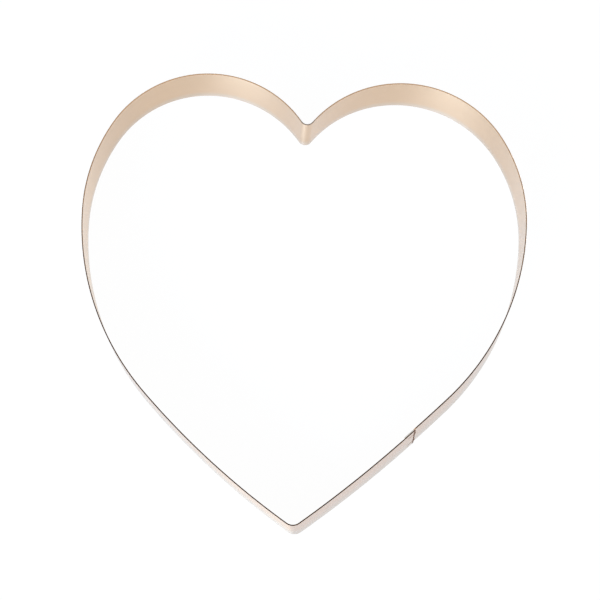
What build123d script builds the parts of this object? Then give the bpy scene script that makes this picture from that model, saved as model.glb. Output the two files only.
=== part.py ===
# Heart-shaped cookie cutter: one bent metal band, lapped and spot welded to itself.
# The cutter stands on its lower rim with +Z up, the heart's point towards -Y and its
# lobes towards +Y. The origin is the middle of the outline, level with the lower rim.
from build123d import *
import os

# Band of thin plated steel strip, sizes in millimetres
band_thickness = 0.3
band_height = 22.2

# Heart outline, with rises along Y from the tip of the point and offsets from the middle of the width
heart_width = 152.4
notch_rise = 138.8
notch_offset = -0.5
point_offset = 0.4
right_widest_rise = 106.7
left_widest_rise = 105.2

# Bends up each shoulder and down each side from the widest place, with turns in degrees
right_shoulder_radius = 55.8
right_shoulder_turn = 33.0
right_side_radius = 88.5
right_side_turn = 44.4
left_shoulder_radius = 62.4
left_shoulder_turn = 30.2
left_side_radius = 91.9
left_side_turn = 43.2

# Folds at the notch and at the point, measured on the inside face
notch_fold_radius = 2.6
point_fold_radius = 3.5

# Lapped ends on the right flank, where the outer end stops at the visible seam
seam_distance = 49.7
lap_length = 4.5
lap_gap = 0.04

# Spot welds through both layers, each in a shallow dish left by the electrode
weld_radius = 1.3
weld_dish = 0.05
weld_setback = 2.0
weld_rim_distance = 5.2

# Metal squeezed out of the cut end beside each weld
bulge_radius = 2.0
bulge_reach = 0.4

half_width = heart_width / 2 - band_thickness
layer_step = band_thickness + lap_gap
stack_thickness = band_thickness + layer_step
notch_centre = Vector(notch_offset, notch_rise + notch_fold_radius)
point_centre = Vector(point_offset, point_fold_radius)


def meet_fold(side, start, direction, fold_centre, fold_radius):
    """Give the place where the arc that leaves a start along a direction touches a fold's circle.

    The side is 1 for an arc that comes down from the right and -1 for one from the left.
    """
    leftward = direction.rotate(Axis.Z, 90)
    away = start - fold_centre
    fold_reach = -side * fold_radius
    arc_reach = (fold_radius**2 - away.length**2) / (2 * (leftward.dot(away) + fold_reach))
    arc_centre = start + leftward * arc_reach
    return arc_centre + (fold_centre - arc_centre) * (arc_reach / (arc_reach - fold_reach))


def half_places(side, widest_rise, shoulder_radius, shoulder_turn, side_radius, side_turn):
    """Give the ends of one half's bends from the notch down to the flank, and the flank's direction.

    The side is 1 on the right and -1 on the left.
    """
    widest = Vector(side * half_width, widest_rise)
    shoulder = JernArc(widest, (0, 1), shoulder_radius, side * shoulder_turn)
    notch_end = meet_fold(side, shoulder @ 1, shoulder % 1, notch_centre, notch_fold_radius)
    lower_side = JernArc(widest, (0, -1), side_radius, -side * side_turn)
    return [notch_end, shoulder @ 1, widest, lower_side @ 1], lower_side % 1


left_places, left_direction = half_places(
    -1, left_widest_rise, left_shoulder_radius, left_shoulder_turn, left_side_radius, left_side_turn
)
right_places, right_direction = half_places(
    1, right_widest_rise, right_shoulder_radius, right_shoulder_turn, right_side_radius, right_side_turn
)
left_point_end = meet_fold(-1, left_places[-1], left_direction, point_centre, point_fold_radius)
right_point_end = meet_fold(1, right_places[-1], right_direction, point_centre, point_fold_radius)

# The band's ends lap on the right flank, straight along it, with the outer end one layer further out
right_flank = TangentArc(right_places[-1], right_point_end, tangent=right_direction)
seam_share = 1 - seam_distance / right_flank.length
seam = right_flank @ seam_share
down_flank = right_flank % seam_share
outward = down_flank.rotate(Axis.Z, 90)
inner_end = seam + down_flank * lap_length
cut_end = seam + outward * layer_step
lap_foot = cut_end + down_flank * lap_length
outer_point_end = meet_fold(1, lap_foot, down_flank, point_centre, point_fold_radius)

# The inside face is one open line, from the cut end round the point, the left half and the right
# half to the hidden inner end
bend_ends = [outer_point_end, left_point_end, *reversed(left_places), *right_places, seam]
with BuildLine() as inside_line:
    last_bend = Line(cut_end, lap_foot)
    for place in bend_ends:
        last_bend = TangentArc(last_bend @ 1, place, tangent=last_bend % 1)
    Line(seam, inner_end)

# The outside face runs beside it, and each of its bends has the same centre
with BuildLine() as outside_line:
    for bend in inside_line.line.edges():
        start, end = (bend @ share + (bend % share).rotate(Axis.Z, 90) * band_thickness for share in (0, 1))
        if bend.geom_type == GeomType.LINE:
            Line(start, end)
        else:
            TangentArc(start, end, tangent=bend % 0)

# The sketch plane puts the middle of the outline at the origin
outline_middle = inside_line.line.bounding_box().center()
heart_plane = Plane(-outline_middle)

# The lap plane lies on the outer layer, with X beyond the cut end and Y up from the lower rim
lap_corner = heart_plane.from_local_coords(cut_end + outward * band_thickness)
lap_plane = Plane(lap_corner, x_dir=-down_flank, z_dir=outward)
weld_heights = {"lower": weld_rim_distance, "upper": band_height - weld_rim_distance}

with BuildPart() as band:
    with BuildSketch(heart_plane):
        with BuildLine():
            add(inside_line.line)
            add(outside_line.line)
            for band_end in (cut_end, inner_end):
                Line(band_end, band_end + outward * band_thickness)
        make_face()
    extrude(amount=band_height)
    with BuildSketch(lap_plane):
        with Locations(*[(bulge_reach - bulge_radius, height) for height in weld_heights.values()]):
            Circle(bulge_radius)
    extrude(amount=-band_thickness)
    with BuildSketch(lap_plane):
        with Locations(*[(-weld_setback, height) for height in weld_heights.values()]):
            Circle(weld_radius)
    extrude(amount=-stack_thickness, mode=Mode.SUBTRACT)
band.part.label = "band"

os.makedirs("parts", exist_ok=True)
export_step(band.part, "parts/band.step")

for name, height in weld_heights.items():
    weld_centre = lap_plane.from_local_coords((-weld_setback, height))
    with BuildPart() as weld:
        with BuildSketch(Plane(weld_centre, x_dir=-down_flank, z_dir=down_flank.cross(outward))):
            with BuildLine():
                outer_dish = TangentArc((0, -weld_dish), (weld_radius, 0), tangent=(1, 0))
                inner_dish = TangentArc(
                    (0, weld_dish - stack_thickness), (weld_radius, -stack_thickness), tangent=(1, 0)
                )
                Line(outer_dish @ 1, inner_dish @ 1)
                Line(inner_dish @ 0, outer_dish @ 0)
            make_face()
        revolve(axis=Axis(weld_centre, outward))
    weld.part.label = f"{name}_spot_weld"
    export_step(weld.part, f"parts/{name}_spot_weld.step")
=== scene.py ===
"""Looks of the heart-shaped cookie cutter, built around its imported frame.

The cutter is one strip of copper-plated steel, bent into a heart and spot welded where its ends
lap. Flat places seen from above are complex numbers, with X as the real part and Y as the
imaginary part, and lengths are millimetres until a finished mesh is scaled to metres.
"""

import cmath
import logging
import math
from dataclasses import dataclass, field
from enum import Enum

import bmesh
import bpy
from bmesh.types import BMEdge, BMesh, BMVert
from bpy.types import Material, Node, NodeSocket, NodeTree, Object, World
from mathutils import Matrix, Vector


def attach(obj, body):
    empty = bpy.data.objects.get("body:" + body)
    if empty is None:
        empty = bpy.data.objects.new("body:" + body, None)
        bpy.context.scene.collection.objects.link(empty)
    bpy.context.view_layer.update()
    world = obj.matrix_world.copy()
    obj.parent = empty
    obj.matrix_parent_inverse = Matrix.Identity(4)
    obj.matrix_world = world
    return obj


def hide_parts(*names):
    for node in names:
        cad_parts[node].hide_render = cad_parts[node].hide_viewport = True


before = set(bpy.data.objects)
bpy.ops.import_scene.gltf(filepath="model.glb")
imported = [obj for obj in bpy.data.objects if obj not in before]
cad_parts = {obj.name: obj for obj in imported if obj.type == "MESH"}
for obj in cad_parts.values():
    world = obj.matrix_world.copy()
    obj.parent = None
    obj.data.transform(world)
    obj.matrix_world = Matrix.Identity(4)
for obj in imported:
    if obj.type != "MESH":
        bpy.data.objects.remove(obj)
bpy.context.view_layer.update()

BODY = "root"
MM = 0.001
WHITE = "#FFFFFF"
DAYLIGHT = "#B4D2FF"
LOG = logging.getLogger("cookie_cutter")

# Faces that meet at less than this are shaded as one smooth surface.
SHARPEST_SMOOTH = math.radians(20.0)
# A bend that turns by less than this many radians is a straight run.
STRAIGHT = 1e-7
# Shares that pick points up to a limit, or beyond it, whatever the rounding.
JUST_UNDER, JUST_OVER = 0.99, 1.01
# Millimetres within which a point lies on a face, or on another point.
SAME_FACE = 0.01
SAME_POINT = 0.0001
# Digits of a millimetre that a row's place keeps, so that equal rows fall together.
KEPT_DIGITS = 4
# Steps along each bend in which the outline's reach is looked for.
REACH_STEPS = 200
# Places of the colour sockets on a Mix node, which has a set of sockets for each kind of value.
MIX_FIRST, MIX_SECOND, MIXED = 6, 7, 2


class Half(Enum):
    """Half of the heart, seen from above with the point downwards."""

    RIGHT = 1
    LEFT = -1


class Layer(Enum):
    """Layer of the strip where its ends lap."""

    OUTER = "outer"
    INNER = "inner"


class Tracked(Enum):
    """Value that each point of the strip carries for its finish.

    ALONG is the distance along the strip in millimetres, and the others are shares.
    """

    ALONG = "along"
    HEAT = "heat"
    DARK_END = "dark_end"
    EDGE = "edge"
    FILED = "filed"
    OUTSIDE = "outside"


def linear(hex_colour: str) -> tuple[float, float, float, float]:
    """Turn an sRGB hex colour into linear values.

    Args:
        hex_colour: Colour written as #RRGGBB.

    Returns:
        Linear red, green and blue, with an alpha of one.
    """
    shares = [int(hex_colour[place:place + 2], 16) / 255 for place in (1, 3, 5)]
    # The sRGB standard's own curve, which is straight near black.
    red, green, blue = (
        share / 12.92 if share <= 0.04045 else ((share + 0.055) / 1.055) ** 2.4
        for share in shares
    )
    return red, green, blue, 1.0


def add_node(
    tree: NodeTree,
    kind: str,
    inputs: dict[str | int, object] | None = None,
    **settings: object,
) -> Node:
    """Add a node to a tree with its settings, its values and its links.

    Args:
        tree: Tree that gets the node.
        kind: Blender's name of the node's type.
        inputs: Value, or socket to link from, for each named or numbered input.
        settings: Properties of the node itself.

    Returns:
        The new node.
    """
    node = tree.nodes.new(kind)
    for name, value in settings.items():
        setattr(node, name, value)
    for key, value in (inputs or {}).items():
        if isinstance(value, NodeSocket):
            tree.links.new(value, node.inputs[key])
        else:
            node.inputs[key].default_value = value
    return node


def blank_tree(owner: Material | World) -> NodeTree:
    """Switch a material or world to nodes and empty its tree.

    Args:
        owner: Material or world.

    Returns:
        Its empty tree.
    """
    owner.use_nodes = True
    owner.node_tree.nodes.clear()
    return owner.node_tree


def finished_object(name: str, mesh: BMesh, material: Material) -> Object:
    """Turn a mesh in millimetres into a smooth-shaded object in metres.

    Args:
        name: Name of the piece.
        mesh: Its mesh, which is freed.
        material: Its finish.

    Returns:
        The object, at the origin, with its place in its mesh.
    """
    bmesh.ops.scale(mesh, vec=(MM, MM, MM), verts=mesh.verts)
    for face in mesh.faces:
        face.smooth = True
    for edge in mesh.edges:
        edge.smooth = edge.calc_face_angle(0.0) < SHARPEST_SMOOTH
    data = bpy.data.meshes.new(name)
    mesh.to_mesh(data)
    mesh.free()
    data.materials.append(material)
    piece = bpy.data.objects.new(name, data)
    bpy.context.scene.collection.objects.link(piece)
    return piece


def dot(one: complex, other: complex) -> float:
    """Give the dot product of two flat directions."""
    return (one.conjugate() * other).real


@dataclass(frozen=True)
class Fold:
    """Tight fold of the strip round an upright axis."""

    centre: complex
    radius: float

    def meet(self, half: Half, start: complex, heading: complex) -> complex:
        """Find where the arc that leaves a start along a heading touches this fold.

        Args:
            half: Side of the fold that the arc comes from.
            start: Place where the arc starts.
            heading: Direction of the strip at the start.

        Returns:
            The place where arc and fold touch.
        """
        away = start - self.centre
        fold_reach = -half.value * self.radius
        arc_reach = (self.radius**2 - abs(away) ** 2) / (2 * (dot(heading * 1j, away) + fold_reach))
        centre = start + heading * 1j * arc_reach
        return centre + (self.centre - centre) * (arc_reach / (arc_reach - fold_reach))


@dataclass(frozen=True)
class Bend:
    """Bend or straight run of the strip, seen from above.

    A turn is in radians, positive to the left, and is zero for a straight run.
    """

    start: complex
    heading: complex
    turn: float
    length: float

    @classmethod
    def reaching(cls, start: complex, heading: complex, end: complex) -> "Bend":
        """Make the bend that leaves a start along a heading and reaches an end.

        Args:
            start: Place where the bend starts.
            heading: Direction of the strip at the start.
            end: Place where the bend ends.

        Returns:
            The bend, or a straight run where the end lies straight ahead.
        """
        chord = end - start
        half_turn = cmath.phase(chord / heading)
        if abs(half_turn) < STRAIGHT:
            return cls(start, heading, 0.0, abs(chord))
        return cls(start, heading, 2 * half_turn, abs(chord) * half_turn / math.sin(half_turn))

    @property
    def centre(self) -> complex:
        """Centre of the bend."""
        return self.start + self.heading * 1j * self.length / self.turn

    def place(self, distance: float) -> complex:
        """Find the place at a distance along the bend.

        Args:
            distance: Distance from the bend's start.

        Returns:
            The place.
        """
        if not self.turn:
            return self.start + self.heading * distance
        turned = cmath.rect(1, self.turn * distance / self.length)
        return self.centre + (self.start - self.centre) * turned

    def direction(self, distance: float) -> complex:
        """Give the strip's direction at a distance along the bend."""
        return self.heading * cmath.rect(1, self.turn * distance / self.length)

    @property
    def end(self) -> complex:
        """Place where the bend ends."""
        return self.place(self.length)

    @property
    def end_heading(self) -> complex:
        """Direction of the strip where the bend ends."""
        return self.direction(self.length)

    def axes(self) -> Matrix:
        """Set up the bend's own axes, with X along the strip, Y outwards and Z upwards.

        Returns:
            The axes, with their origin at the bend's start on the lower rim.
        """
        outward = self.heading * 1j
        return Matrix((
            (self.heading.real, outward.real, 0.0, self.start.real),
            (self.heading.imag, outward.imag, 0.0, self.start.imag),
            (0.0, 0.0, 1.0, 0.0),
            (0.0, 0.0, 0.0, 1.0),
        ))


@dataclass(frozen=True)
class HeartHalf:
    """Bends of one half of the heart, from the widest place up the shoulder and down the side.

    The turns are in degrees.
    """

    half: Half
    widest_rise: float
    shoulder_radius: float
    shoulder_turn: float
    side_radius: float
    side_turn: float

    def arc(self, widest: complex, upwards: bool) -> Bend:
        """Make the arc that leaves the widest place.

        Args:
            widest: Widest place of this half.
            upwards: Whether the arc goes up the shoulder or down the side.

        Returns:
            The arc.
        """
        way = 1 if upwards else -1
        radius = self.shoulder_radius if upwards else self.side_radius
        turn = math.radians(self.shoulder_turn if upwards else self.side_turn)
        return Bend(widest, way * 1j, way * self.half.value * turn, radius * turn)


@dataclass(frozen=True)
class Outline:
    """Line of the strip's inside face, seen from above.

    Rises are measured along Y from the tip of the point, as offsets are from the middle of the
    width. The outer end of the lap stops at the seam, seam_distance up the right flank.
    """

    thickness: float = 0.3
    width: float = 152.4
    # The middle of each fold stands one radius above the rise of its tip.
    notch: Fold = Fold(complex(-0.5, 138.8 + 2.6), 2.6)
    point: Fold = Fold(complex(0.4, 3.5), 3.5)
    right: HeartHalf = HeartHalf(Half.RIGHT, 106.7, 55.8, 33.0, 88.5, 44.4)
    left: HeartHalf = HeartHalf(Half.LEFT, 105.2, 62.4, 30.2, 91.9, 43.2)
    seam_distance: float = 49.7
    lap_length: float = 4.5
    lap_gap: float = 0.04

    def places(self, side: HeartHalf) -> tuple[list[complex], complex]:
        """Find the ends of one half's bends.

        Args:
            side: The half's sizes.

        Returns:
            The places from the notch down to the flank, and the direction down the flank.
        """
        widest = complex(side.half.value * (self.width / 2 - self.thickness), side.widest_rise)
        shoulder, lower_side = side.arc(widest, True), side.arc(widest, False)
        notch_end = self.notch.meet(side.half, shoulder.end, shoulder.end_heading)
        return [notch_end, shoulder.end, widest, lower_side.end], lower_side.end_heading

    def bends(self) -> list[Bend]:
        """Lay the strip from the seam round the point, the left half and the right half.

        Returns:
            The bends in order, with a straight lap first and last.
        """
        right_places, right_heading = self.places(self.right)
        left_places, left_heading = self.places(self.left)
        right_end = self.point.meet(Half.RIGHT, right_places[-1], right_heading)
        left_end = self.point.meet(Half.LEFT, left_places[-1], left_heading)
        flank = Bend.reaching(right_places[-1], right_heading, right_end)
        to_seam = flank.length - self.seam_distance
        seam, down = flank.place(to_seam), flank.direction(to_seam)
        cut_end = seam + down * 1j * (self.thickness + self.lap_gap)
        laid = [Bend(cut_end, down, 0.0, self.lap_length)]
        outer_end = self.point.meet(Half.RIGHT, laid[0].end, down)
        for place in (outer_end, left_end, *reversed(left_places), *right_places, seam):
            laid.append(Bend.reaching(laid[-1].end, laid[-1].end_heading, place))
        laid.append(Bend(seam, down, 0.0, self.lap_length))
        return laid

    def layer_faces(self, layer: Layer) -> tuple[float, float]:
        """Find the two faces of one layer of the lap.

        Args:
            layer: Layer of the lap.

        Returns:
            How far out its inside and its outside lie from the inside of the outer layer.
        """
        if layer is Layer.OUTER:
            return 0.0, self.thickness
        return -self.thickness - self.lap_gap, -self.lap_gap

    def middle(self) -> Vector:
        """Find the middle of the outline, which the frame has as its origin.

        Returns:
            The middle.
        """
        rises = [
            bend.place(bend.length * step / REACH_STEPS).imag
            for bend in self.bends()
            for step in range(REACH_STEPS + 1)
        ]
        return Vector((0.0, (min(rises) + max(rises)) / 2, 0.0))


@dataclass(frozen=True)
class Lean:
    """Slight lean of the strip, which is largest at the lower rim and nothing at the upper one.

    A hand-formed heart of thin strip is never quite upright all round. The reaches are
    millimetres at the lower rim and fade out towards the outline's box, so that the cutter
    stays as wide and as long as it is. Sideways they follow the place along Y as a constant,
    a slope and a square, and lengthways the place along X as a constant and a slope.
    """

    half_width: float = 76.2
    half_length: float = 78.21
    sideways: tuple[float, float, float] = (0.692, -0.836, -0.851)
    lengthways: tuple[float, float] = (-0.188, -0.693)

    def shift(self, place: Vector, height: float) -> Vector:
        """Give how far a point of the strip is pushed out.

        Args:
            place: Point on the upright strip.
            height: Height of the strip.

        Returns:
            The push at that point's place and height.
        """
        across, along = place.x / self.half_width, place.y / self.half_length
        first, second, third = self.sideways
        sideways = (1 - across**2) * (first + second * along + third * along**2)
        lengthways = (1 - along**2) * (self.lengthways[0] + self.lengthways[1] * across)
        return Vector((sideways, lengthways, 0.0)) * (1 - place.z / height)


@dataclass(frozen=True)
class SatinCopperPlate:
    """Copper plating under clear lacquer on cold-rolled steel strip.

    Lengths, widths, heights and depths are millimetres.
    """

    # Thin copper over bright steel looks pale pink gold. The rolls leave a satin grain along the
    # strip, which draws each reflection out across it, and the lacquer adds a clearer gleam.
    name: str = "rolled_copper_plated_steel_strip"
    colour: str = "#E6C298"
    deeper_colour: str = "#E0BB90"
    roughness: float = 0.33
    roughness_spread: float = 0.04
    grain_pull: float = 0.78
    # The tangent runs round the upright axis, and a quarter turn draws reflections out upwards.
    grain_turn: float = 0.25
    # The grain is really some 0.05 mm apart. It is drawn 0.4 mm apart, the finest that shows.
    grain_width: float = 0.4
    grain_length: float = 18.0
    grain_depth: float = 0.0003
    patch_length: float = 26.0
    patch_height: float = 11.0
    streak_detail: float = 3.0
    streak_roughness: float = 0.5
    lacquer: float = 0.85
    lacquer_roughness: float = 0.12

    # Painted shade dulls the outside faces. Painted reflection of the floor makes both faces paler
    # and greyer from the lower rim up, reaching higher on the outside, so the near walls look
    # greyer than the far ones.
    outside_shade_colour: str = "#E0CEB3"
    foot_reflection_colour: str = "#DECFBC"
    foot_reflection_outside_colour: str = "#BAAC92"
    foot_reflection_height: float = 5.0
    foot_reflection_outside_height: float = 16.0
    foot_reflection_share: float = 0.7

    # Slitting polishes the rims. The dark line round the heart is painted reflection: the upper
    # rim's outside edge is painted near black, in the dark ceiling's colour. The edge of the hidden
    # end is filed back to bright steel.
    rim_colour: str = "#E2B68C"
    rim_depth: float = 0.09
    rim_roughness: float = 0.12
    # Painted reflection of the dark ceiling on the upper rim's outside edge.
    edge_colour: str = "#20160F"
    darkened_roughness: float = 0.7
    filed_colour: str = "#EAE6E0"

    # The welds' heat tints the plating straw and burns the lacquer off. The cut end is darkened to
    # brown for a short way behind it.
    tint_colour: str = "#C8934A"
    dark_end_colour: str = "#54341E"
    burnt_lacquer: float = 0.2

    def make(self, height: float) -> Material:
        """Make the material.

        Args:
            height: Height of the strip.

        Returns:
            The strip's material.
        """
        material = bpy.data.materials.new(self.name)
        tree = blank_tree(material)
        spot = add_node(tree, "ShaderNodeTexCoord").outputs["Object"]
        upright = add_node(tree, "ShaderNodeSeparateXYZ", {0: spot}).outputs["Z"]
        rise = add_node(
            tree, "ShaderNodeMath", {0: upright, 1: 1 / MM}, operation="MULTIPLY"
        ).outputs[0]
        tracked = {
            value: add_node(tree, "ShaderNodeAttribute", attribute_name=value.value).outputs["Fac"]
            for value in Tracked
        }
        strip = add_node(
            tree, "ShaderNodeCombineXYZ", {"X": tracked[Tracked.ALONG], "Y": rise}
        ).outputs[0]
        grain = self.streaks(tree, strip, self.grain_length, self.grain_width)
        patches = self.streaks(tree, strip, self.patch_length, self.patch_height)
        rim = self.rims(tree, rise, height)
        # Where the painted dark line and the dark cut end lie, the strip is matt and not metal.
        darkened = add_node(
            tree, "ShaderNodeMath", {0: tracked[Tracked.DARK_END], 1: tracked[Tracked.EDGE]},
            operation="MAXIMUM",
        ).outputs[0]
        metal = add_node(
            tree, "ShaderNodeMath", {0: 1.0, 1: darkened}, operation="SUBTRACT"
        ).outputs[0]
        unburnt = add_node(
            tree, "ShaderNodeMapRange",
            {"Value": tracked[Tracked.HEAT], "To Min": self.lacquer, "To Max": self.burnt_lacquer},
        ).outputs[0]
        coat = add_node(
            tree, "ShaderNodeMath", {0: metal, 1: unburnt}, operation="MULTIPLY"
        ).outputs[0]
        bump = add_node(
            tree, "ShaderNodeBump",
            {"Height": grain, "Strength": 1.0, "Distance": self.grain_depth * MM},
        ).outputs[0]
        tangent = add_node(
            tree, "ShaderNodeTangent", direction_type="RADIAL", axis="Z"
        ).outputs[0]
        surface = add_node(
            tree, "ShaderNodeBsdfPrincipled",
            {
                "Base Color": self.tones(tree, tracked, rise, patches, rim),
                "Metallic": metal,
                "Roughness": self.polish(tree, grain, rim, darkened),
                "Normal": bump,
                "Anisotropic": self.grain_pull,
                "Anisotropic Rotation": self.grain_turn,
                "Tangent": tangent,
                "Coat Weight": coat,
                "Coat Roughness": self.lacquer_roughness,
            },
        ).outputs[0]
        add_node(tree, "ShaderNodeOutputMaterial", {"Surface": surface})
        return material

    def streaks(
        self, tree: NodeTree, strip: NodeSocket, length: float, width: float
    ) -> NodeSocket:
        """Draw soft streaks along the strip.

        Args:
            tree: Tree of the material.
            strip: Place on the strip, with the distance along it as X and the height as Y.
            length: Length of a streak.
            width: Width of a streak.

        Returns:
            Socket with the streaks, from nought to one.
        """
        laid = add_node(
            tree, "ShaderNodeMapping", {"Vector": strip, "Scale": (1 / length, 1 / width, 1.0)}
        ).outputs[0]
        return add_node(
            tree, "ShaderNodeTexNoise",
            {
                "Vector": laid, "Scale": 1.0, "Detail": self.streak_detail,
                "Roughness": self.streak_roughness,
            },
        ).outputs[0]

    def rims(self, tree: NodeTree, rise: NodeSocket, height: float) -> NodeSocket:
        """Mark the polished rims by their distance from half the strip's height.

        Args:
            tree: Tree of the material.
            rise: Height above the lower rim.
            height: Height of the strip.

        Returns:
            Socket with the share of rim, from nought on the faces to one on both rims.
        """
        half = height / 2
        above = add_node(
            tree, "ShaderNodeMath", {0: rise, 1: half}, operation="SUBTRACT"
        ).outputs[0]
        away = add_node(tree, "ShaderNodeMath", {0: above}, operation="ABSOLUTE").outputs[0]
        return add_node(
            tree, "ShaderNodeMapRange",
            {
                "Value": away, "From Min": half - 2 * self.rim_depth,
                "From Max": half - self.rim_depth / 2,
            },
            interpolation_type="SMOOTHSTEP",
        ).outputs[0]

    def tones(
        self,
        tree: NodeTree,
        tracked: dict[Tracked, NodeSocket],
        rise: NodeSocket,
        patches: NodeSocket,
        rim: NodeSocket,
    ) -> NodeSocket:
        """Lay the strip's colours over each other, from the plating up to the dark cut end.

        Args:
            tree: Tree of the material.
            tracked: Values that the strip's points carry.
            rise: Height above the lower rim.
            patches: Share of the deeper colour.
            rim: Share of rim.

        Returns:
            Socket with the colour.
        """
        outside = tracked[Tracked.OUTSIDE]
        # Both faces are painted paler towards the lower rim, as painted reflection of the floor.
        foot_reflection_to = add_node(
            tree, "ShaderNodeMapRange",
            {"Value": outside, "To Min": self.foot_reflection_height, "To Max": self.foot_reflection_outside_height},
        ).outputs[0]
        foot_reflection = add_node(
            tree, "ShaderNodeMapRange",
            {"Value": rise, "From Max": foot_reflection_to, "To Min": self.foot_reflection_share, "To Max": 0.0},
            interpolation_type="SMOOTHSTEP",
        ).outputs[0]
        foot_reflection_tone = add_node(
            tree, "ShaderNodeMix",
            {
                "Factor": outside, MIX_FIRST: linear(self.foot_reflection_colour),
                MIX_SECOND: linear(self.foot_reflection_outside_colour),
            },
            data_type="RGBA",
        ).outputs[MIXED]
        layers = (
            (patches, linear(self.deeper_colour), "MIX"),
            # Painted shade on the outside faces.
            (outside, linear(self.outside_shade_colour), "MULTIPLY"),
            # Painted reflection of the floor, paler towards the lower rim.
            (foot_reflection, foot_reflection_tone, "MIX"),
            (tracked[Tracked.HEAT], linear(self.tint_colour), "MIX"),
            (rim, linear(self.rim_colour), "MIX"),
            (tracked[Tracked.FILED], linear(self.filed_colour), "MIX"),
            # Painted reflection of the dark ceiling on the upper rim, and painted shade at the
            # notch's fold.
            (tracked[Tracked.EDGE], linear(self.edge_colour), "MIX"),
            # Dark brown band behind the cut end.
            (tracked[Tracked.DARK_END], linear(self.dark_end_colour), "MIX"),
        )
        tone: object = linear(self.colour)
        for share, laid, way in layers:
            tone = add_node(
                tree, "ShaderNodeMix", {"Factor": share, MIX_FIRST: tone, MIX_SECOND: laid},
                data_type="RGBA", blend_type=way,
            ).outputs[MIXED]
        return tone

    def polish(
        self, tree: NodeTree, grain: NodeSocket, rim: NodeSocket, darkened: NodeSocket
    ) -> NodeSocket:
        """Work out how rough the strip is on its faces, its rims and its darkened bands.

        Args:
            tree: Tree of the material.
            grain: The rolls' grain.
            rim: Share of rim.
            darkened: Share of the painted dark line and of the dark cut end.

        Returns:
            Socket with the roughness.
        """
        rough = add_node(
            tree, "ShaderNodeMapRange",
            {
                "Value": grain, "To Min": self.roughness - self.roughness_spread,
                "To Max": self.roughness + self.roughness_spread,
            },
        ).outputs[0]
        for share, roughness in ((rim, self.rim_roughness), (darkened, self.darkened_roughness)):
            rough = add_node(
                tree, "ShaderNodeMix", {"Factor": share, "A": rough, "B": roughness},
                data_type="FLOAT",
            ).outputs[0]
        return rough


@dataclass(frozen=True)
class WeldedNugget:
    """Resistance-welded steel, melted through both layers and pressed by the electrodes."""

    # The electrode burns the plating off and leaves a smooth grey-brown dimple, which the heat
    # colours straw brown towards its rim.
    name: str = "pressed_spot_weld"
    colour: str = "#B79C84"
    edge_colour: str = "#7A5A3C"
    roughness: float = 0.34
    roughness_spread: float = 0.06
    # The electrode's face leaves pits some 0.1 mm apart. They are drawn 0.3 mm apart, so they show.
    pit_width: float = 0.3
    pit_depth: float = 0.004
    pit_detail: float = 2.0

    def make(self) -> Material:
        """Make the material.

        Returns:
            The weld's material.
        """
        material = bpy.data.materials.new(self.name)
        tree = blank_tree(material)
        spot = add_node(tree, "ShaderNodeTexCoord").outputs["Object"]
        heat = add_node(
            tree, "ShaderNodeAttribute", attribute_name=Tracked.HEAT.value
        ).outputs["Fac"]
        pits = add_node(
            tree, "ShaderNodeTexNoise",
            {"Vector": spot, "Scale": 1 / (self.pit_width * MM), "Detail": self.pit_detail},
        ).outputs[0]
        tone = add_node(
            tree, "ShaderNodeMix",
            {
                "Factor": heat, MIX_FIRST: linear(self.colour),
                MIX_SECOND: linear(self.edge_colour),
            },
            data_type="RGBA",
        ).outputs[MIXED]
        rough = add_node(
            tree, "ShaderNodeMapRange",
            {
                "Value": pits, "To Min": self.roughness - self.roughness_spread,
                "To Max": self.roughness + self.roughness_spread,
            },
        ).outputs[0]
        bump = add_node(
            tree, "ShaderNodeBump",
            {"Height": pits, "Strength": 1.0, "Distance": self.pit_depth * MM},
        ).outputs[0]
        surface = add_node(
            tree, "ShaderNodeBsdfPrincipled",
            {"Base Color": tone, "Metallic": 1.0, "Roughness": rough, "Normal": bump},
        ).outputs[0]
        add_node(tree, "ShaderNodeOutputMaterial", {"Surface": surface})
        return material


@dataclass(frozen=True)
class WhiteAcrylic:
    """White acrylic sheet under the cutter, cast smooth and lit from below."""

    # Cast acrylic is even and bright, so the table all but vanishes into white. The camera and the
    # metal both see it mostly as glow, and the matt part of it keeps the cutter's faint shadow.
    name: str = "cast_white_acrylic"
    colour: str = "#F4F4F2"
    seen_glow: float = 0.97
    mirrored_glow: float = 0.85
    mirrored_level: float = 0.79

    def make(self) -> Material:
        """Make the material.

        Returns:
            The floor's material.
        """
        material = bpy.data.materials.new(self.name)
        tree = blank_tree(material)
        path = add_node(tree, "ShaderNodeLightPath").outputs
        seen = add_node(
            tree, "ShaderNodeMath",
            {0: path["Is Camera Ray"], 1: path["Is Transmission Ray"]}, operation="MAXIMUM",
        ).outputs[0]
        seen = add_node(
            tree, "ShaderNodeMath", {0: seen, 1: self.seen_glow}, operation="MULTIPLY"
        ).outputs[0]
        glow = add_node(
            tree, "ShaderNodeMath", {0: path["Is Glossy Ray"], 1: self.mirrored_glow, 2: seen},
            operation="MULTIPLY_ADD",
        ).outputs[0]
        matt = add_node(tree, "ShaderNodeBsdfDiffuse", {"Color": linear(self.colour)}).outputs[0]
        level = add_node(
            tree, "ShaderNodeMapRange",
            {"Value": path["Is Glossy Ray"], "To Min": 1.0, "To Max": self.mirrored_level},
        ).outputs[0]
        bright = add_node(
            tree, "ShaderNodeEmission", {"Color": linear(WHITE), "Strength": level}
        ).outputs[0]
        surface = add_node(tree, "ShaderNodeMixShader", {0: glow, 1: matt, 2: bright}).outputs[0]
        add_node(tree, "ShaderNodeOutputMaterial", {"Surface": surface})
        return material


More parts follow.
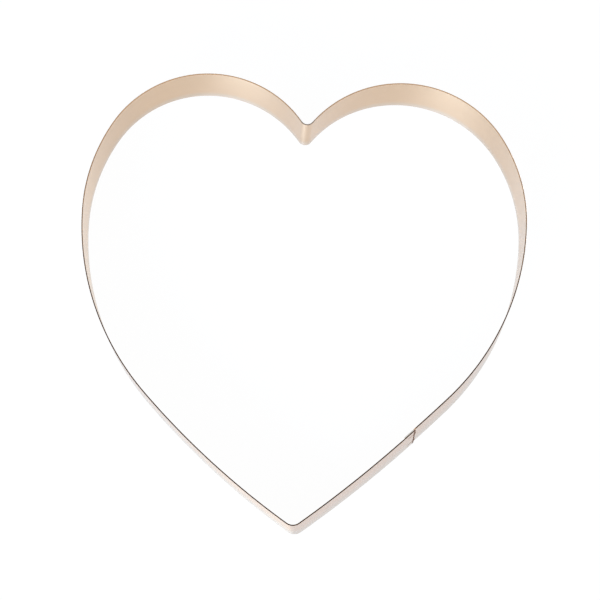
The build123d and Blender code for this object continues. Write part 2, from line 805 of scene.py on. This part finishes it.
@dataclass
class SpotWelds:
    """Places and shape of the two spot welds that hold the lap together."""

    radius: float = 1.3
    dish: float = 0.05
    # Half the dish's section, as shares of the weld's radius and of the dish's depth. The metal
    # that the electrode pushed aside stands up as a low ring round the dish.
    dish_profile: tuple[tuple[float, float], ...] = (
        (0.0, -1.0), (0.42, -0.94), (0.66, -0.68), (0.78, -0.22), (0.86, 0.12), (0.94, 0.1),
        (1.0, 0.0),
    )
    setback: float = 2.0
    rim_distance: float = 5.2
    bulge_radius: float = 2.0
    bulge_reach: float = 0.4
    facets: int = 48
    # Distance over which the tint fades round a weld, and the power that gathers it at its rim.
    heat_reach: float = 1.1
    heat_power: int = 3
    finish: WeldedNugget = field(default_factory=WeldedNugget)

    def heights(self, strip_height: float) -> dict[str, float]:
        """Give the height of each weld by its name."""
        return {"lower": self.rim_distance, "upper": strip_height - self.rim_distance}

    def bulge(self, rise: float, strip_height: float) -> float:
        """Work out how far the cut end bulges beside the welds.

        Args:
            rise: Height above the lower rim.
            strip_height: Height of the strip.

        Returns:
            The bulge's reach at that height.
        """
        least = min(abs(rise - height) for height in self.heights(strip_height).values())
        if least >= self.bulge_radius:
            return 0.0
        round_reach = math.sqrt(self.bulge_radius**2 - least**2)
        return max(0.0, round_reach + self.bulge_reach - self.bulge_radius)

    def heat(self, distance: float) -> float:
        """Give the share of heat tint at a distance from a weld's middle."""
        return math.exp(-((max(distance - self.radius, 0.0) / self.heat_reach) ** 2))


@dataclass
class Band:
    """The bent strip: its sizes, its mesh and its finish."""

    outline: Outline = field(default_factory=Outline)
    lean: Lean = field(default_factory=Lean)
    welds: SpotWelds = field(default_factory=SpotWelds)
    finish: SatinCopperPlate = field(default_factory=SatinCopperPlate)
    height: float = 22.2
    rim_round: float = 0.02
    rim_segments: int = 2
    # The painted dark line reaches down to this depth on the outside, and is gone at 1.6 times
    # that depth.
    painted_line_depth: float = 0.22
    painted_line_fade: float = 1.6
    # Share of painted shade that darkens the whole rim round the notch's fold.
    notch_shade: float = 0.8
    # The slitter's burr stands off the upper rim's inside edge, and fades in beyond the lap.
    lip_name: str = "lip"
    lip_reach: float = 0.08
    lip_fade: float = 2.0
    # The hidden end's inside edge is filed down, from the seam on.
    file_drop: float = 0.14
    # Distance behind the cut end that is darkened to brown, and the share of it where the darkening
    # is gone.
    dark_end_length: float = 0.6
    dark_end_fade: float = 1.3
    # Heat is looked for this far beyond the lap at both ends.
    heat_margin: float = 2.0
    # Spacing of the mesh: the row that ends the close rows at a rim, the gaps between the rows at
    # the welds, the cells across a weld, and the longest and sharpest step along a bend.
    rim_rows_end: float = 2.2
    gaps_between_welds: int = 5
    weld_cells: int = 8
    longest_step: float = 1.8
    widest_turn: float = math.radians(6.0)

    def weld_rows(self) -> list[float]:
        """List offsets of the rows of cells across a weld."""
        cell = 2 * self.welds.radius / self.weld_cells
        return [(row - self.weld_cells / 2) * cell for row in range(self.weld_cells + 1)]

    def rows(self) -> list[float]:
        """List the heights of the strip's rows of points, closer together at rims and welds.

        Returns:
            The heights, from the lower rim up.
        """
        near_rim = (0.0, self.painted_line_depth, self.painted_line_fade * self.painted_line_depth, self.rim_rows_end)
        heights = {*near_rim, *(self.height - rise for rise in near_rim)}
        low, high = self.welds.heights(self.height).values()
        for weld in (low, high):
            heights.update(round(weld + row, KEPT_DIGITS) for row in self.weld_rows())
        gap = high - low - 2 * self.welds.radius
        heights.update(
            low + self.welds.radius + gap * share / self.gaps_between_welds
            for share in range(1, self.gaps_between_welds)
        )
        return sorted(heights)

    def lap_stations(self) -> list[float]:
        """List distances along the lap from the seam, closer together at the cut and the welds.

        Returns:
            The distances, ending at the lap's length.
        """
        stations = {
            self.dark_end_length, self.dark_end_fade * self.dark_end_length, self.outline.lap_length
        }
        stations.update(round(self.welds.setback + row, KEPT_DIGITS) for row in self.weld_rows())
        return sorted(stations)

    def stations(self, bend: Bend) -> list[float]:
        """List distances along a bend where the strip gets a ring of points.

        Args:
            bend: Bend of the strip.

        Returns:
            The distances, ending at the bend's length.
        """
        if not bend.turn:
            return self.lap_stations()
        steps = math.ceil(max(bend.length / self.longest_step, abs(bend.turn) / self.widest_turn))
        return [bend.length * step / steps for step in range(1, steps + 1)]

    def start_section(self, mesh: BMesh, first: Bend) -> list[BMEdge]:
        """Make the strip's cut end, with rounded rims.

        Args:
            mesh: Mesh that gets the section.
            first: First run of the strip.

        Returns:
            The edges round the section.
        """
        rows = self.rows()
        half = 0.5
        bmesh.ops.create_grid(mesh, x_segments=1, y_segments=len(rows) - 1, size=half)
        outward = first.heading * 1j
        for vert in mesh.verts:
            row = round((vert.co.y + half) * (len(rows) - 1))
            place = first.start + outward * self.outline.thickness * (vert.co.x + half)
            vert.co = (place.real, place.imag, rows[row])
        corners = [vert for vert in mesh.verts if len(vert.link_edges) == 2]
        bmesh.ops.bevel(
            mesh, geom=corners, offset=self.rim_round, offset_type="OFFSET",
            segments=self.rim_segments, profile=0.5, affect="VERTICES", material=-1,
        )
        painted_line_layer = mesh.verts.layers.float[Tracked.EDGE.value]
        lip_layer = mesh.verts.layers.float[self.lip_name]
        outside_layer = mesh.verts.layers.float[Tracked.OUTSIDE.value]
        rounded = JUST_OVER * self.rim_round
        for vert in mesh.verts:
            depth = dot(outward, complex(vert.co.x, vert.co.y) - first.start)
            below = self.height - vert.co.z
            on_face = depth > JUST_UNDER * self.outline.thickness
            # The upper rim's outside edge is painted near black, as painted reflection of the dark
            # ceiling.
            vert[painted_line_layer] = float(on_face and below < JUST_OVER * self.painted_line_depth)
            vert[lip_layer] = float(depth < rounded and below < rounded)
            vert[outside_layer] = float(depth > self.outline.thickness / 2)
        return [edge for edge in mesh.edges if edge.is_boundary]

    def lip(self, along: float) -> float:
        """Give the burr's reach at a distance along the strip, clear of the lap's outer layer."""
        share = (along - self.outline.lap_length) / self.lip_fade
        return self.lip_reach * min(max(share, 0.0), 1.0)

    def drop(self, from_end: float) -> float:
        """Give how far the hidden end's inside edge is filed down, at a distance from that end."""
        share = (self.outline.lap_length - from_end) / self.dark_end_length
        return self.file_drop * min(max(share, 0.0), 1.0)

    @staticmethod
    def carry(mesh: BMesh, verts: list[BMVert], bend: Bend, step: float) -> None:
        """Carry a ring of points along a bend.

        Args:
            mesh: Mesh that holds the strip.
            verts: Points of the ring.
            bend: Bend that the ring follows.
            step: Distance along the bend.
        """
        if bend.turn:
            centre = Vector((bend.centre.real, bend.centre.imag, 0.0))
            turned = Matrix.Rotation(bend.turn * step / bend.length, 3, "Z")
            bmesh.ops.rotate(mesh, verts=verts, cent=centre, matrix=turned)
        else:
            ahead = bend.heading * step
            bmesh.ops.translate(mesh, verts=verts, vec=(ahead.real, ahead.imag, 0.0))

    def sweep(self, mesh: BMesh, bends: list[Bend]) -> None:
        """Extrude the cut end along the strip's bends, ring by ring.

        Args:
            mesh: Mesh that holds the strip.
            bends: Bends of the strip in order.
        """
        along_layer = mesh.verts.layers.float.new(Tracked.ALONG.value)
        mesh.verts.layers.float.new(Tracked.EDGE.value)
        mesh.verts.layers.float.new(Tracked.OUTSIDE.value)
        lip_layer = mesh.verts.layers.float.new(self.lip_name)
        filed_layer = mesh.verts.layers.float.new(Tracked.FILED.value)
        ring = self.start_section(mesh, bends[0])
        total = sum(bend.length for bend in bends)
        along = 0.0
        for bend in bends:
            done = 0.0
            for station in self.stations(bend):
                grown = bmesh.ops.extrude_edge_only(mesh, edges=ring)["geom"]
                ring = [part for part in grown if isinstance(part, BMEdge)]
                verts = [part for part in grown if isinstance(part, BMVert)]
                self.carry(mesh, verts, bend, station - done)
                growth = self.lip(along + station) - self.lip(along + done)
                inward = bend.direction(station) * -1j * growth
                filed = self.drop(total - along - station)
                raised = self.drop(total - along - done) - filed
                lips = [vert for vert in verts if vert[lip_layer]]
                bmesh.ops.translate(mesh, verts=lips, vec=(inward.real, inward.imag, raised))
                for vert in lips:
                    vert[filed_layer] = filed / self.file_drop
                done = station
                for vert in verts:
                    vert[along_layer] = along + done
            along += bend.length
        bmesh.ops.contextual_create(mesh, geom=ring)
        mesh.verts.layers.float.remove(lip_layer)

    def bore_lap(self, mesh: BMesh, lap: Matrix) -> None:
        """Open a round hole through both layers for each weld.

        Args:
            mesh: Mesh that holds the strip.
            lap: The lap's own axes.
        """
        for rise in self.welds.heights(self.height).values():
            for layer in Layer:
                rims: list[BMEdge] = []
                for depth in self.outline.layer_faces(layer):
                    middle = Vector((self.welds.setback, depth, rise))
                    rims += self.open_round(mesh, lap, middle)
                bmesh.ops.bridge_loops(mesh, edges=rims)

    def open_round(self, mesh: BMesh, lap: Matrix, middle: Vector) -> list[BMEdge]:
        """Take the cells out of one face of the lap and round off the opening.

        Args:
            mesh: Mesh that holds the strip.
            lap: The lap's own axes.
            middle: Middle of the opening, in the lap's axes.

        Returns:
            The edges round the opening.
        """
        to_lap = lap.inverted()
        cells = []
        for face in mesh.faces:
            offset = to_lap @ face.calc_center_median() - middle
            if max(abs(offset.x), abs(offset.z)) < self.welds.radius and abs(offset.y) < SAME_FACE:
                cells.append(face)
        inside = set(cells)
        rim = [
            edge for edge in dict.fromkeys(edge for face in cells for edge in face.edges)
            if sum(face in inside for face in edge.link_faces) == 1
        ]
        bmesh.ops.delete(mesh, geom=cells, context="FACES")
        for vert in {vert for edge in rim for vert in edge.verts}:
            offset = to_lap @ vert.co - middle
            offset.y = 0.0
            vert.co = lap @ (middle + offset.normalized() * self.welds.radius)
        return rim

    def mark_ends(self, mesh: BMesh, lap: Matrix, total: float) -> None:
        """Write the lap's heat tint, dark cut end and filed edge, and push out the cut end's
        bulges.

        The rest of the strip only gets painted shade on the rim round the notch's fold.

        Args:
            mesh: Mesh that holds the strip.
            lap: The lap's own axes.
            total: Length of the strip.
        """
        heat_layer = mesh.verts.layers.float.new(Tracked.HEAT.value)
        dark_end_layer = mesh.verts.layers.float.new(Tracked.DARK_END.value)
        along_layer = mesh.verts.layers.float[Tracked.ALONG.value]
        painted_line_layer = mesh.verts.layers.float[Tracked.EDGE.value]
        filed_layer = mesh.verts.layers.float[Tracked.FILED.value]
        notch = self.outline.notch
        notch_reach = notch.radius + 2 * self.outline.thickness
        to_lap = lap.inverted()
        ahead = lap.to_3x3() @ Vector((1.0, 0.0, 0.0))
        ends = self.outline.lap_length + self.heat_margin
        hidden_end = total - JUST_UNDER * self.outline.lap_length
        for vert in mesh.verts:
            along = vert[along_layer]
            below = self.height - vert.co.z
            if ends < along < total - ends:
                from_notch = abs(complex(vert.co.x, vert.co.y) - notch.centre)
                # Painted shade darkens the whole rim round the notch's fold, where the crease is.
                if from_notch < notch_reach and below < self.painted_line_depth / 2:
                    vert[painted_line_layer] = self.notch_shade
                continue
            local = to_lap @ vert.co
            distance = min(
                math.hypot(local.x - self.welds.setback, local.z - rise)
                for rise in self.welds.heights(self.height).values()
            )
            vert[heat_layer] = self.welds.heat(distance)
            if along > hidden_end and below < JUST_OVER * self.painted_line_depth:
                vert[painted_line_layer] = vert[heat_layer] = 0.0
                vert[filed_layer] = 1.0
            # The last bit behind the cut end is darkened to dark brown.
            if along < JUST_OVER * self.dark_end_length:
                vert[dark_end_layer] = 1.0
            if along < self.dark_end_length / 2:
                vert.co -= ahead * self.welds.bulge(local.z, self.height)

    def seat(self, mesh: BMesh) -> None:
        """Move a mesh from the outline's place to the frame's, and lean it as the strip leans.

        Args:
            mesh: Mesh in the outline's place.
        """
        bmesh.ops.translate(mesh, verts=mesh.verts, vec=-self.outline.middle())
        for vert in mesh.verts:
            vert.co += self.lean.shift(vert.co, self.height)

    def build(self) -> Object:
        """Build the strip.

        Returns:
            The strip's object, in metres and in its place.
        """
        bends = self.outline.bends()
        mesh = bmesh.new()
        self.sweep(mesh, bends)
        lap = bends[0].axes()
        self.mark_ends(mesh, lap, sum(bend.length for bend in bends))
        self.bore_lap(mesh, lap)
        self.seat(mesh)
        bmesh.ops.recalc_face_normals(mesh, faces=mesh.faces)
        return finished_object("heart_band", mesh, self.finish.make(self.height))

    def build_weld(self, name: str, rise: float) -> Object:
        """Build one weld nugget in the lap.

        Args:
            name: Name of the weld.
            rise: Height of its middle.

        Returns:
            The nugget's object.
        """
        outer = self.outline.layer_faces(Layer.OUTER)[1]
        inner = self.outline.layer_faces(Layer.INNER)[0]
        radius, dish, shares = self.welds.radius, self.welds.dish, self.welds.dish_profile
        section = [(radius * share, outer + dish * depth) for share, depth in shares]
        section += [(radius * share, inner - dish * depth) for share, depth in reversed(shares)]
        mesh = bmesh.new()
        verts = [mesh.verts.new((reach, depth, 0.0)) for reach, depth in section]
        edges = [mesh.edges.new(pair) for pair in zip(verts, verts[1:])]
        bmesh.ops.spin(
            mesh, geom=[*verts, *edges], cent=(0.0, 0.0, 0.0), axis=(0.0, 1.0, 0.0),
            dvec=(0.0, 0.0, 0.0), angle=math.tau, steps=self.welds.facets, use_merge=True,
        )
        bmesh.ops.remove_doubles(mesh, verts=mesh.verts, dist=SAME_POINT)
        heat_layer = mesh.verts.layers.float.new(Tracked.HEAT.value)
        for vert in mesh.verts:
            share = math.hypot(vert.co.x, vert.co.z) / radius
            vert[heat_layer] = share**self.welds.heat_power
        to_weld = Matrix.Translation((self.welds.setback, 0.0, rise))
        lap = self.outline.bends()[0].axes()
        bmesh.ops.transform(mesh, matrix=lap @ to_weld, verts=mesh.verts)
        self.seat(mesh)
        bmesh.ops.recalc_face_normals(mesh, faces=mesh.faces)
        return finished_object(f"{name}_weld_nugget", mesh, self.welds.finish.make())


@dataclass(frozen=True)
class SoftLamp:
    """Square soft lamp that shines at the cutter, with its place and side in metres."""

    name: str
    place: tuple[float, float, float]
    watts: float
    colour: str = WHITE
    side: float = 0.5

    def hang(self) -> Object:
        """Hang the lamp.

        Returns:
            The lamp's object.
        """
        light = bpy.data.lights.new(self.name, "AREA")
        light.size = self.side
        light.energy = self.watts
        light.color = linear(self.colour)[:3]
        lamp = bpy.data.objects.new(self.name, light)
        lamp.location = self.place
        lamp.rotation_mode = "QUATERNION"
        lamp.rotation_quaternion = (-Vector(self.place)).to_track_quat("-Z", "Y")
        bpy.context.scene.collection.objects.link(lamp)
        return lamp


@dataclass(frozen=True)
class Camera:
    """Camera over the point's side of the cutter, with its place in millimetres."""

    target: tuple[float, float, float] = (-0.309, -1.558, 22.2)
    distance: float = 672.29
    tilt: float = math.radians(13.802)
    roll: float = math.radians(2.5)
    lens: float = 119.1
    sensor: float = 36.0

    def set_up(self) -> Object:
        """Place the camera and make it the scene's.

        Returns:
            The camera's object.
        """
        ahead = Vector((0.0, math.sin(self.tilt), -math.cos(self.tilt)))
        right = Vector((1.0, 0.0, 0.0))
        upward = right.cross(ahead)
        right, upward = (
            right * math.cos(self.roll) + upward * math.sin(self.roll),
            upward * math.cos(self.roll) - right * math.sin(self.roll),
        )
        data = bpy.data.cameras.new("overhead_camera")
        data.lens = self.lens
        data.sensor_width = self.sensor
        camera = bpy.data.objects.new(data.name, data)
        place = (Vector(self.target) - ahead * self.distance) * MM
        facing = Matrix((right, upward, -ahead)).transposed().to_4x4()
        camera.matrix_world = Matrix.Translation(place) @ facing
        bpy.context.scene.collection.objects.link(camera)
        bpy.context.scene.camera = camera
        return camera


@dataclass(frozen=True)
class Studio:
    """Bright white table in a studio with pale walls and a dark ceiling."""

    # Metres. The drop keeps the floor's face clear of the lower rim.
    floor_side: float = 6.0
    floor_drop: float = 0.00001
    floor_finish: WhiteAcrylic = WhiteAcrylic()
    camera: Camera = Camera()
    # Daylight comes in from the left front, and weaker lamps lift the walls that it leaves dull.
    lamps: tuple[SoftLamp, ...] = (
        SoftLamp("front_left_lamp", (-0.35, -0.66, 0.27), 23.0, DAYLIGHT),
        SoftLamp("front_right_lamp", (0.45, -0.6, 0.27), 1.4),
        SoftLamp("left_lamp", (-0.75, 0.04, 0.27), 5.0, DAYLIGHT),
        SoftLamp("right_lamp", (0.72, 0.3, 0.27), 7.0, "#C4DAFF"),
    )
    # Brightness of the room by the upward share of a direction, from the walls to the ceiling. The
    # dark ceiling is what the upper rim mirrors.
    room: tuple[tuple[float, str], ...] = (
        (0.0, "#E6E6E6"),
        (0.5, "#E0E0E0"),
        (0.9, "#E0E0E0"),
        (0.941, "#E8E8E8"),
        (0.955, "#2A1E16"),
        (1.0, "#20160F"),
    )

    def lay_floor(self) -> Object:
        """Lay the table's top just under the cutter.

        Returns:
            The floor's object.
        """
        mesh = bmesh.new()
        bmesh.ops.create_grid(mesh, x_segments=1, y_segments=1, size=self.floor_side / 2)
        bmesh.ops.translate(mesh, vec=(0.0, 0.0, -self.floor_drop), verts=mesh.verts)
        data = bpy.data.meshes.new("table_top")
        mesh.to_mesh(data)
        mesh.free()
        data.materials.append(self.floor_finish.make())
        floor = bpy.data.objects.new(data.name, data)
        bpy.context.scene.collection.objects.link(floor)
        return floor

    def light_room(self) -> None:
        """Give the room its brightness by direction, and the camera a white backdrop."""
        world = bpy.data.worlds.new("studio_room")
        bpy.context.scene.world = world
        tree = blank_tree(world)
        direction = add_node(tree, "ShaderNodeTexCoord").outputs["Generated"]
        upward = add_node(tree, "ShaderNodeSeparateXYZ", {0: direction}).outputs["Z"]
        ramp = add_node(tree, "ShaderNodeValToRGB", {0: upward})
        stops = ramp.color_ramp.elements
        while len(stops) < len(self.room):
            # The stop moves to its own share below.
            stops.new(0.5)
        for stop, (share, colour) in zip(stops, self.room):
            stop.position = share
            stop.color = linear(colour)
        room, backdrop = (
            add_node(tree, "ShaderNodeBackground", {"Color": colour, "Strength": 1.0}).outputs[0]
            for colour in (ramp.outputs[0], linear(WHITE))
        )
        seen = add_node(tree, "ShaderNodeLightPath").outputs["Is Camera Ray"]
        surface = add_node(
            tree, "ShaderNodeMixShader", {0: seen, 1: room, 2: backdrop}
        ).outputs[0]
        add_node(tree, "ShaderNodeOutputWorld", {"Surface": surface})

    def set_up(self) -> None:
        """Lay the floor, light the room, hang the lamps and place the camera."""
        self.lay_floor()
        self.light_room()
        for lamp in self.lamps:
            lamp.hang()
        self.camera.set_up()
        bpy.context.scene.view_settings.view_transform = "Standard"


def report(piece: Object) -> None:
    """Log a piece's name and its number of faces."""
    LOG.info("%s: %d faces", piece.name, len(piece.data.polygons))


def main() -> None:
    """Build the cutter's pieces and the studio round them."""
    logging.basicConfig(level=logging.INFO)
    Studio().set_up()
    band = Band()
    strip = band.build()
    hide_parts("band")
    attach(strip, BODY)
    report(strip)
    for name, rise in band.welds.heights(band.height).items():
        nugget = band.build_weld(name, rise)
        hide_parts(f"{name}_spot_weld")
        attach(nugget, BODY)
        report(nugget)


if __name__ == "__main__":
    main()
